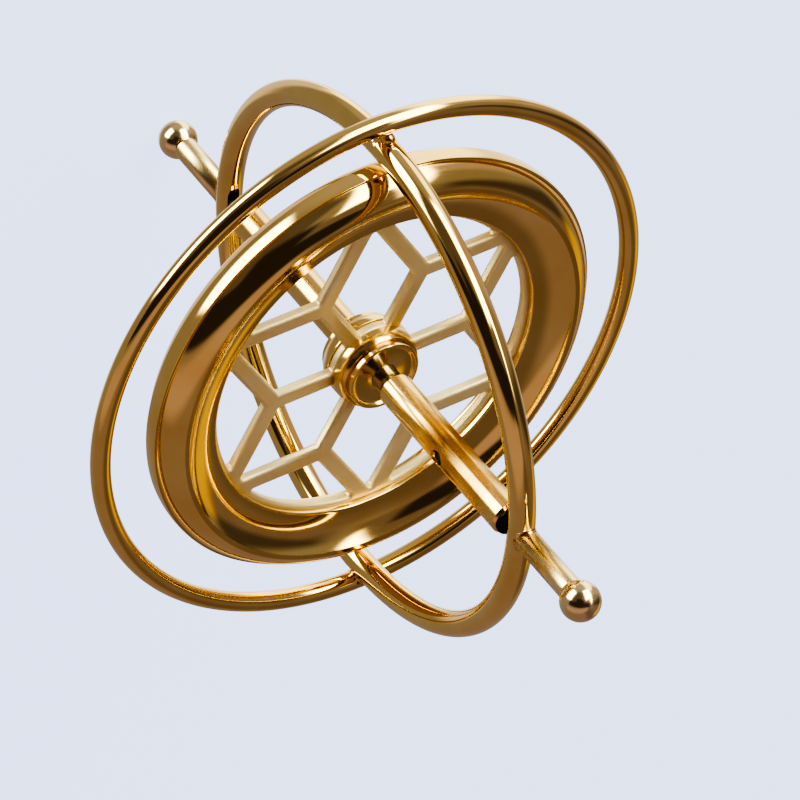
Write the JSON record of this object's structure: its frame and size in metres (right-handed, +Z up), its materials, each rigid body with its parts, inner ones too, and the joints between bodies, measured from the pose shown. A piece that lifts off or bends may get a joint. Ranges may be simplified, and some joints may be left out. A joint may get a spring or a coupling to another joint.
{
  "type": "toy gyroscope",
  "caption": "Ball-ended cage of crossed wire rings around a heavy spoked rotor that spins on an axle drilled for a pull cord.",
  "frame": {"origin": "lowest point of the lower ball, on the spin axis: the point that the gyroscope stands on", "axes": "+Z up along the spin axis, from the lower ball to the upper ball; +X in the plane of the meridian ring, through its crossing with the equator ring; +Y along the cord hole"},
  "size_m": [0.065, 0.065, 0.083],
  "materials": {
    "ring_brass": "polished",
    "rotor_brass": "polished",
    "web_brass": "satin",
    "hub_brass": "polished",
    "stud_brass": "polished",
    "sleeve_brass": "polished",
    "braze": "satin",
    "bush_brass": "satin",
    "axle_steel": "polished",
    "blackened_steel": "satin"
  },
  "bodies": {
    "cage": {"equator_ring": "ring_brass", "meridian_ring": "ring_brass", "left_crossing_braze": "braze", "right_crossing_braze": "braze", "upper_ball_stud": "stud_brass", "lower_ball_stud": "stud_brass", "upper_pole_braze": "braze", "lower_pole_braze": "braze", "upper_pivot_cup": "bush_brass", "lower_pivot_cup": "bush_brass"},
    "rotor": {"upper_pivot": "blackened_steel", "lower_pivot": "blackened_steel", "upper_hub_half": "hub_brass", "lower_hub_half": "hub_brass", "upper_hub_collar": "hub_brass", "lower_hub_collar": "hub_brass", "axle": "axle_steel", "upper_axle_sleeve": "sleeve_brass", "lower_axle_sleeve": "sleeve_brass", "rotor_rim": "rotor_brass", "rotor_web": "web_brass"}
  },
  "joints": [
    {"name": "rotor_spin", "type": "hinge", "parent": "cage", "child": "rotor", "pos_m": [0, 0, 0.0415], "axis": [0, 0, 1], "continuous": true}
  ]
}
